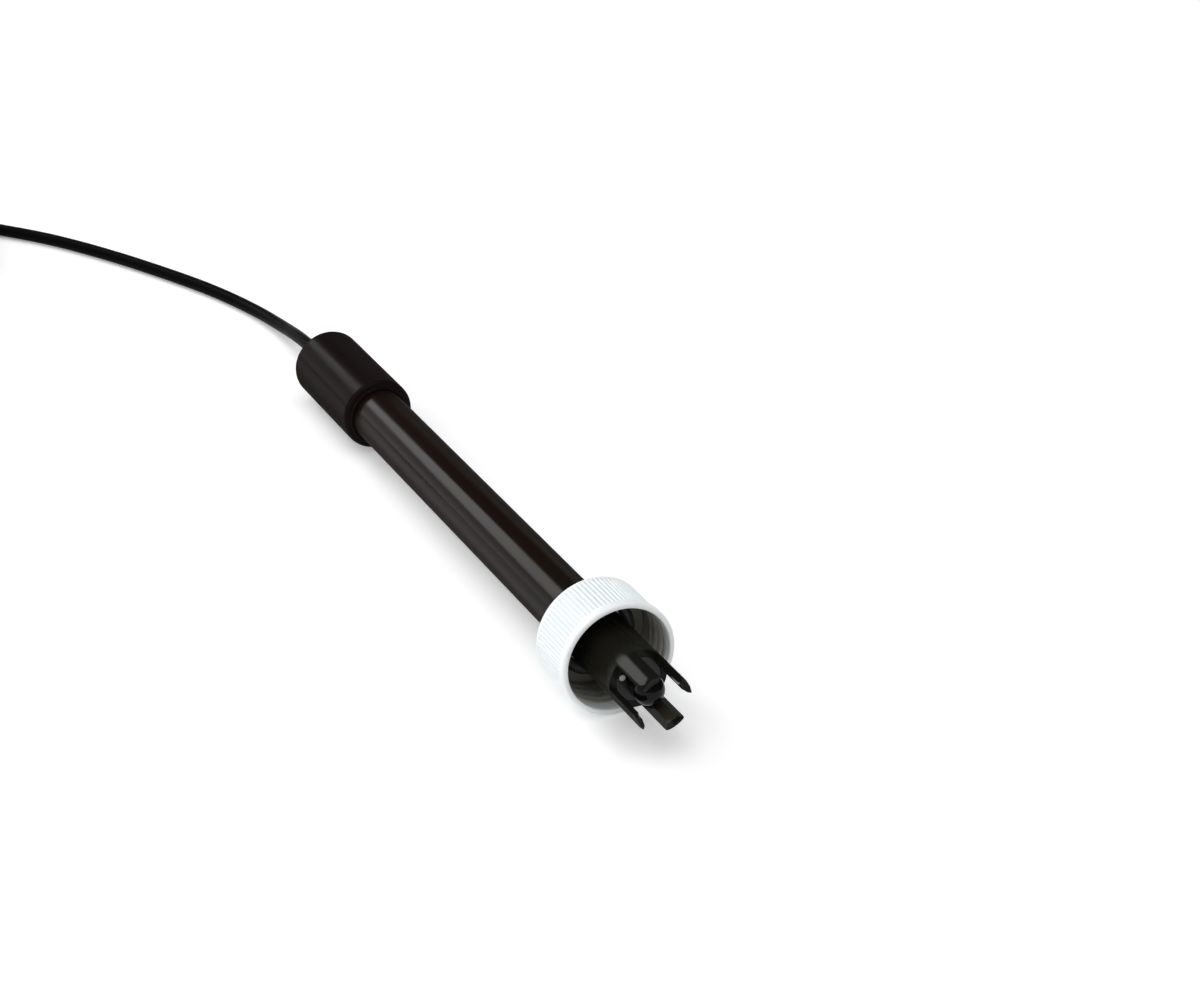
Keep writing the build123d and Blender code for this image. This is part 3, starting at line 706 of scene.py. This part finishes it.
def shaftSection(station):
    # outer radius, inner radius and half width of the slot at a station of the prongs
    outer, inner, halfSlot = shaft["radius"], shaft["bore"], shaft["slot"] / 2
    past = station - (shaft["tip"] - shaft["outerBevel"])
    if past > 0:
        outer -= shaft["tipInset"] * (past / shaft["outerBevel"]) ** 2
    past = station - (shaft["tip"] - shaft["innerBevel"])
    if past > 0:
        inner += (shaft["radius"] - shaft["tipInset"] - shaft["tipLand"] - inner) * past / shaft["innerBevel"]
    past = station - (shaft["tip"] - shaft["cornerRadius"])
    if past > 0:
        halfSlot += shaft["cornerRadius"] - sqrt(max(0.0, shaft["cornerRadius"] ** 2 - past ** 2))
    return outer, inner, halfSlot


shaftBuild = bmesh.new()
lapSteps = 2 * shaft["steps"]
laps = [number * lapSteps for number in range(shaft["prongs"])]
prongSteps = [lap + step for lap in laps for step in range(shaft["steps"])]
slotSteps = [lap + step for lap in laps for step in range(shaft["steps"], lapSteps)]
allSteps = range(lapSteps * shaft["prongs"])


def addRing(station, radius, halfSlot):
    return [shaftBuild.verts.new(roundPoint(station, radius, radians(angle)))
            for angle in shaftAngles(radius, halfSlot)]


def joinRings(first, second, steps, skin=onTube):
    for step in steps:
        beside = (step + 1) % len(first)
        face = shaftBuild.faces.new((first[step], first[beside], second[beside], second[step]))
        face.material_index = skin


# the tube, up to the face between the prongs
halfSlot = shaft["slot"] / 2
tubeLength = shaft["endFace"] - shaft["rear"]
outerRings = [addRing(shaft["rear"] + tubeLength * number / shaft["rings"], shaft["radius"], halfSlot)
              for number in range(shaft["rings"] + 1)]
innerRings = [addRing(station, shaft["bore"], halfSlot) for station in (shaft["rear"], shaft["endFace"])]
for first, second in zip(outerRings, outerRings[1:]):
    joinRings(first, second, allSteps)
joinRings(innerRings[1], innerRings[0], allSteps)
joinRings(innerRings[0], outerRings[0], allSteps)
joinRings(outerRings[-1], innerRings[1], slotSteps)

# the prongs, row by row to their bevelled and rounded tips
prongLength = shaft["tip"] - shaft["innerBevel"] - shaft["endFace"]
bevelStart = shaft["tip"] - shaft["outerBevel"]
stations = [shaft["endFace"] + prongLength * (row + 1) / shaft["prongRows"]
            for row in range(shaft["prongRows"])]
stations.append(bevelStart)
stations += [shaft["tip"] - shaft["cornerRadius"] * (1 - sin(pi / 2 * step / shaft["tipSteps"]))
             for step in range(shaft["tipSteps"] + 1)]
outerBefore, innerBefore = outerRings[-1], innerRings[1]
for station in stations:
    outer, inner, halfSlot = shaftSection(station)
    outerHere = addRing(station, outer, halfSlot)
    innerHere = addRing(station, inner, halfSlot)
    joinRings(outerBefore, outerHere, prongSteps, onProng)
    joinRings(innerHere, innerBefore, prongSteps, onProngPaintedLight if station <= bevelStart else onProng)
    for low in laps:
        high = low + shaft["steps"]
        for side in ((outerBefore[low], outerHere[low], innerHere[low], innerBefore[low]),
                     (outerBefore[high], innerBefore[high], innerHere[high], outerHere[high])):
            shaftBuild.faces.new(side).material_index = onProng
    outerBefore, innerBefore = outerHere, innerHere
joinRings(outerBefore, innerBefore, prongSteps, onProng)
loose = [vertex for vertex in shaftBuild.verts if not vertex.link_faces]
bmesh.ops.delete(shaftBuild, geom=loose, context="VERTS")
bmesh.ops.recalc_face_normals(shaftBuild, faces=shaftBuild.faces)
shaftMesh = takeMesh("shaft", shaftBuild)
shaftMesh.transform(shaftMatrix)
for material in shaftFinish:
    shaftMesh.materials.append(material)
shaftPiece = addObject("shaft", shaftMesh)
finishPiece(shaftPiece, "electrode", None, ["body_tube"], edge=shaft["edge"])
print("shaft made:", len(shaftPiece.data.polygons), "faces")

# top cap: moulded cup with a rounded rear edge and a collar round the shaft
topCap = dict(radius=8.0, length=31.5, collar=6.8, collarRear=31.0, hole=1.53, grip=6.03, tubeRear=12.0,
              inner=4.6, wall=4.5, rearRound=1.4, frontRound=1.0, holeRound=0.25, collarFillet=0.12,
              collarRound=0.25, gripRound=0.2, roundSteps=7, segments=128)
topCapCorners = [
    (0, topCap["hole"], topCap["holeRound"]),
    (0, topCap["radius"], topCap["rearRound"]),
    (topCap["collarRear"], topCap["radius"], topCap["frontRound"]),
    (topCap["collarRear"], topCap["collar"], topCap["collarFillet"]),
    (topCap["length"], topCap["collar"], topCap["collarRound"]),
    (topCap["length"], topCap["grip"], topCap["gripRound"]),
    (topCap["tubeRear"], topCap["grip"], 0),
    (topCap["tubeRear"], topCap["inner"], 0),
    (topCap["wall"], topCap["inner"], 0),
    (topCap["wall"], topCap["hole"], 0),
]
turnedPiece("topCap", roundedProfile(topCapCorners, topCap["roundSteps"]), topCap["segments"], "electrode",
            finish["capPlastic"], ["top_cap"])
print("top cap made")

# screw cap: grip ribs sunk into a turned wall
screwCap = dict(rear=134.5, height=12.8, wall=11.4, rim=11.75, rimRear=11.0, bore=10.6, roof=1.6, hole=6.35,
                rearRound=1.0, rimRound=0.5, holeRound=0.2, boreRound=0.3, stepRound=0.15, roundSteps=6,
                wallRows=24, ribs=82, ribDepth=0.24, ribStart=1.15, ribFade=0.55, ribLeast=11.1,
                ribCrest=0.55, ribFoot=-0.75,    # of the cosine across a rib, where its side starts and stops
                shadeFrom=0.4, shadeFade=0.9,    # painted shade on the inside, by its depth behind the rim
                stepsPerRib=8, sharp=50)
capCorners = [
    (0, screwCap["hole"], screwCap["holeRound"]),
    (0, screwCap["wall"], screwCap["rearRound"]),
    (screwCap["rimRear"], screwCap["wall"], screwCap["stepRound"]),
    (screwCap["rimRear"], screwCap["rim"], screwCap["stepRound"]),
    (screwCap["height"], screwCap["rim"], screwCap["rimRound"]),
    (screwCap["height"], screwCap["bore"], screwCap["boreRound"]),
    (screwCap["roof"], screwCap["bore"], screwCap["boreRound"]),
    (screwCap["roof"], screwCap["hole"], screwCap["holeRound"]),
]
capProfile = roundedProfile(capCorners, screwCap["roundSteps"])
wallStart = 2 * screwCap["roundSteps"] + 1    # last point of the rear edge's arc
wallRows = [capProfile[wallStart].lerp(capProfile[wallStart + 1], row / screwCap["wallRows"])
            for row in range(1, screwCap["wallRows"])]
capProfile[wallStart + 1:wallStart + 1] = wallRows
capSegments = screwCap["ribs"] * screwCap["stepsPerRib"]
capPiece = addObject("screwCap", latheMesh("screwCap", capProfile, capSegments))


def setInputs(piece, tree, values):
    # modifier inputs are set by the sockets' identifiers
    made = piece.modifiers.new(tree.name, "NODES")
    made.node_group = tree
    for item in tree.interface.items_tree:
        if item.item_type == "SOCKET" and item.in_out == "INPUT" and item.name in values:
            made[item.identifier] = values[item.name]


# grip ribs: points of the outer wall sink between ribs, by their angle about x
ribTree, given, result = newTree("gripRibs", "GeometryNodeTree", [
    ("Geometry", "geometry", None), ("Rib Count", "number", 82.0), ("Rib Depth", "number", 0.0002),
    ("Start", "number", 0.001), ("Stop", "number", 0.01), ("Fade", "number", 0.0005),
    ("Least Radius", "number", 0.011), ("Material", "material", None)], [("Geometry", "geometry")])
where = addNode(ribTree, "GeometryNodeInputPosition")
split = addNode(ribTree, "ShaderNodeSeparateXYZ")
pointAngle = mathNode(ribTree, "ARCTAN2")
ribAngle = mathNode(ribTree, "MULTIPLY")
wave = mathNode(ribTree, "COSINE")
groove = softRange(ribTree, {"From Min": screwCap["ribCrest"], "From Max": screwCap["ribFoot"]})
startEnd = mathNode(ribTree, "ADD")
rise = softRange(ribTree)
stopStart = mathNode(ribTree, "SUBTRACT")
fall = softRange(ribTree, {"To Min": 1.0, "To Max": 0.0})
radial = addNode(ribTree, "ShaderNodeCombineXYZ")
pointRadius = vectorNode(ribTree, "LENGTH")
outward = vectorNode(ribTree, "NORMALIZE")
onWall = mathNode(ribTree, "GREATER_THAN")
alongWall = mathNode(ribTree, "MULTIPLY")
ribbed = mathNode(ribTree, "MULTIPLY")
sink = mathNode(ribTree, "MULTIPLY")
deep = mathNode(ribTree, "MULTIPLY")
inward = mathNode(ribTree, "MULTIPLY", {1: -1.0})
move = vectorNode(ribTree, "SCALE")
push = addNode(ribTree, "GeometryNodeSetPosition")
# the sink between ribs is also stored as the groove mask for the painted shade
store = addNode(ribTree, "GeometryNodeStoreNamedAttribute", {"data_type": "FLOAT", "domain": "POINT"},
                {"Name": "groove"})
realize = addNode(ribTree, "GeometryNodeRealizeInstances")
paint = addNode(ribTree, "GeometryNodeSetMaterial")
link(ribTree,
     (where.outputs[0], split.inputs[0]),
     (split.outputs["Z"], pointAngle.inputs[0]),
     (split.outputs["Y"], pointAngle.inputs[1]),
     (pointAngle.outputs[0], ribAngle.inputs[0]),
     (given.outputs["Rib Count"], ribAngle.inputs[1]),
     (ribAngle.outputs[0], wave.inputs[0]),
     (wave.outputs[0], groove.inputs["Value"]),
     (given.outputs["Start"], startEnd.inputs[0]),
     (given.outputs["Fade"], startEnd.inputs[1]),
     (split.outputs["X"], rise.inputs["Value"]),
     (given.outputs["Start"], rise.inputs["From Min"]),
     (startEnd.outputs[0], rise.inputs["From Max"]),
     (given.outputs["Stop"], stopStart.inputs[0]),
     (given.outputs["Fade"], stopStart.inputs[1]),
     (split.outputs["X"], fall.inputs["Value"]),
     (stopStart.outputs[0], fall.inputs["From Min"]),
     (given.outputs["Stop"], fall.inputs["From Max"]),
     (split.outputs["Y"], radial.inputs["Y"]),
     (split.outputs["Z"], radial.inputs["Z"]),
     (radial.outputs[0], pointRadius.inputs[0]),
     (radial.outputs[0], outward.inputs[0]),
     (pointRadius.outputs["Value"], onWall.inputs[0]),
     (given.outputs["Least Radius"], onWall.inputs[1]),
     (rise.outputs["Result"], alongWall.inputs[0]),
     (fall.outputs["Result"], alongWall.inputs[1]),
     (alongWall.outputs[0], ribbed.inputs[0]),
     (onWall.outputs[0], ribbed.inputs[1]),
     (ribbed.outputs[0], sink.inputs[0]),
     (groove.outputs["Result"], sink.inputs[1]),
     (sink.outputs[0], deep.inputs[0]),
     (given.outputs["Rib Depth"], deep.inputs[1]),
     (deep.outputs[0], inward.inputs[0]),
     (outward.outputs[0], move.inputs[0]),
     (inward.outputs[0], move.inputs["Scale"]),
     (given.outputs["Geometry"], push.inputs["Geometry"]),
     (move.outputs[0], push.inputs["Offset"]),
     (push.outputs[0], store.inputs["Geometry"]),
     (sink.outputs[0], store.inputs["Value"]),
     (store.outputs[0], realize.inputs[0]),
     (realize.outputs[0], paint.inputs["Geometry"]),
     (given.outputs["Material"], paint.inputs["Material"]),
     (paint.outputs[0], result.inputs[0]))
setInputs(capPiece, ribTree, {
    "Rib Count": float(screwCap["ribs"]), "Rib Depth": screwCap["ribDepth"] * mm,
    "Start": screwCap["ribStart"] * mm, "Stop": screwCap["rimRear"] * mm, "Fade": screwCap["ribFade"] * mm,
    "Least Radius": screwCap["ribLeast"] * mm, "Material": finish["whitePlastic"]})
bakeMesh(capPiece)

# painted shade: the inside's darker tint starts a little way behind the rim and deepens with depth
insideShadeShare = capPiece.data.attributes.new("inside", "FLOAT", "POINT")
slack = 0.05
for number, vertex in enumerate(capPiece.data.vertices):
    station = vertex.co.x / mm
    depth = screwCap["height"] - station
    bored = sqrt(vertex.co.y ** 2 + vertex.co.z ** 2) / mm < screwCap["bore"] + slack
    share = (depth - screwCap["shadeFrom"]) / screwCap["shadeFade"]
    if bored and station > screwCap["roof"] - slack:
        insideShadeShare.data[number].value = min(1.0, max(0.0, share))
capPiece.data.transform(shaftMatrix @ Matrix.Translation((screwCap["rear"] * mm, 0, 0)))
finishPiece(capPiece, "screw_cap", finish["whitePlastic"], ["screw_cap"],
            sharp=screwCap["sharp"])
print("screw cap made:", len(capPiece.data.polygons), "faces")

# thread: a round ridge wound along a spiral inside the screw cap, thinner at both ends
thread = dict(turns=4.3, start=137.5, pitch=1.95, ridge=0.42, radius=10.68, stepsPerTurn=96, ridgeSides=10,
              runOut=0.06, endShare=0.05, sharp=60)
threadTree, given, result = newTree("innerThread", "GeometryNodeTree", [
    ("Geometry", "geometry", None), ("Turns", "number", 4.0), ("Radius", "number", 0.01),
    ("Height", "number", 0.008), ("Ridge", "number", 0.0004), ("Material", "material", None)],
    [("Geometry", "geometry")])
spiral = addNode(threadTree, "GeometryNodeCurveSpiral", values={"Resolution": thread["stepsPerTurn"]})
along = addNode(threadTree, "GeometryNodeSplineParameter")
fromEnds = mathNode(threadTree, "PINGPONG", {1: 0.5})
swell = softRange(threadTree, {"From Min": 0.0, "From Max": thread["runOut"], "To Min": thread["endShare"],
                               "To Max": 1.0})
ridgeSize = mathNode(threadTree, "MULTIPLY")
ridgeProfile = addNode(threadTree, "GeometryNodeCurvePrimitiveCircle",
                       values={"Resolution": thread["ridgeSides"], "Radius": 1.0})
toMesh = addNode(threadTree, "GeometryNodeCurveToMesh", values={"Fill Caps": True})
lay = addNode(threadTree, "GeometryNodeTransform", values={"Rotation": (0.0, pi / 2, 0.0)})
realize = addNode(threadTree, "GeometryNodeRealizeInstances")
paint = addNode(threadTree, "GeometryNodeSetMaterial")
link(threadTree,
     (given.outputs["Turns"], spiral.inputs["Rotations"]),
     (given.outputs["Radius"], spiral.inputs["Start Radius"]),
     (given.outputs["Radius"], spiral.inputs["End Radius"]),
     (given.outputs["Height"], spiral.inputs["Height"]),
     (along.outputs["Factor"], fromEnds.inputs[0]),
     (fromEnds.outputs[0], swell.inputs["Value"]),
     (swell.outputs["Result"], ridgeSize.inputs[0]),
     (given.outputs["Ridge"], ridgeSize.inputs[1]),
     (spiral.outputs[0], toMesh.inputs["Curve"]),
     (ridgeSize.outputs[0], toMesh.inputs["Scale"]),
     (ridgeProfile.outputs["Curve"], toMesh.inputs["Profile Curve"]),
     (toMesh.outputs[0], lay.inputs["Geometry"]),
     (lay.outputs[0], realize.inputs[0]),
     (realize.outputs[0], paint.inputs["Geometry"]),
     (given.outputs["Material"], paint.inputs["Material"]),
     (paint.outputs[0], result.inputs[0]))
threadPiece = addObject("screwCapThread", bpy.data.meshes.new("screwCapThread"))
setInputs(threadPiece, threadTree, {
    "Turns": thread["turns"], "Radius": thread["radius"] * mm,
    "Height": thread["turns"] * thread["pitch"] * mm, "Ridge": thread["ridge"] * mm,
    "Material": finish["whitePlastic"]})
bakeMesh(threadPiece)
# painted shade: the whole thread takes the full inside tint
threadShadeShare = threadPiece.data.attributes.new("inside", "FLOAT", "POINT")
threadShadeShare.data.foreach_set("value", [1.0] * len(threadPiece.data.vertices))
threadPiece.data.transform(shaftMatrix @ Matrix.Translation((thread["start"] * mm, 0, 0)))
finishPiece(threadPiece, "screw_cap", finish["whitePlastic"], sharp=thread["sharp"])
print("thread made:", len(threadPiece.data.polygons), "faces")

# seal ring under the screw cap's roof
sealRing = dict(middle=7.15, section=1.1, station=137.25, sectionSteps=28, segments=96, sharp=60)
ringProfile = []
for number in range(sealRing["sectionSteps"]):
    angle = 2 * pi * number / sealRing["sectionSteps"]
    ringProfile.append(Vector((sealRing["station"] + sealRing["section"] * cos(angle),
                               sealRing["middle"] + sealRing["section"] * sin(angle))))
turnedPiece("sealRing", ringProfile, sealRing["segments"], "seal_ring", finish["sealRubber"],
            ["seal_ring"], sealRing["sharp"])

# glass: a stem with the blown bulb at its end, hollow
glass = dict(stem=2.3, stemBore=1.8, bulb=3.0, bulbBore=2.55, middle=159.0, rear=54.0, flame=1.1,
             outerSteps=30, innerSteps=26, segments=96, sharp=60)


def bulbArc(radius, stem, steps):
    # from the flamed neck round the bulb to its pole
    first = pi - asin(stem / radius)
    arc = []
    for step in range(steps + 1):
        angle = first * (1 - step / steps)
        arc.append(Vector((glass["middle"] + radius * cos(angle), radius * sin(angle))))
    return [Vector((arc[0].x - glass["flame"], stem))] + arc


outerGlass = bulbArc(glass["bulb"], glass["stem"], glass["outerSteps"])
innerGlass = bulbArc(glass["bulbBore"], glass["stemBore"], glass["innerSteps"])
glassProfile = [Vector((glass["rear"], glass["stem"]))] + outerGlass
glassProfile += innerGlass[::-1] + [Vector((glass["rear"], glass["stemBore"]))]
turnedPiece("glassElectrode", glassProfile, glass["segments"], "electrode",
            finish["bulbGlass"], ["glass_electrode"], glass["sharp"])
print("seal ring and glass made")

# eased copies of solids: piece, solid, body, slot, finish, eased edge in mm
tipCopies = [
    ("endSeal", "end_plug", "electrode", "seal_resin", "sealResin", 0.08),
    ("junction", "reference_junction", "electrode", "porous_ceramic", "porousCeramic", 0.1),
]
plugCopies = [
    ("plugSleeve", "plug_coupling", "plug_coupling", "plated_metal", "platedMetal", 0.0),
    ("plugBody", "plug_body", "electrode", "plated_metal", "platedMetal", 0.05),
    ("plugInsulator", "plug_insulator", "electrode", "insulator_plastic", "insulatorPlastic", 0.05),
    ("plugPin", "plug_pin", "electrode", "contact_metal", "goldPlate", 0.05),
    ("plugGasket", "plug_gasket", "electrode", "seal_rubber", "sealRubber", 0.08),
    ("plugWasher", "plug_washer", "electrode", "plated_metal", "platedMetal", 0.0),
    ("plugCrimp", "plug_crimp", "electrode", "plated_metal", "platedMetal", 0.05),
    ("plugBoot", "plug_boot", "electrode", "boot_rubber", "bootRubber", 0.15),
]
tieCopies = [
    ("cableTie", "cable_tie", "electrode", "tie_plastic", "tieFabric", 0.12),
]


def easedCopies(copies):
    return [finishPiece(smoothCopy(name, node), body, finish[finishName], [node], edge=edge)
            for name, node, body, slot, finishName, edge in copies]


easedCopies(tipCopies)
plugPieces = easedCopies(plugCopies)
for piece in plugPieces:
    roundNormals(piece, plugFront, plugBack)
plugPieces += easedCopies(tieCopies)
print("plug and tie made:", len(plugPieces), "pieces")
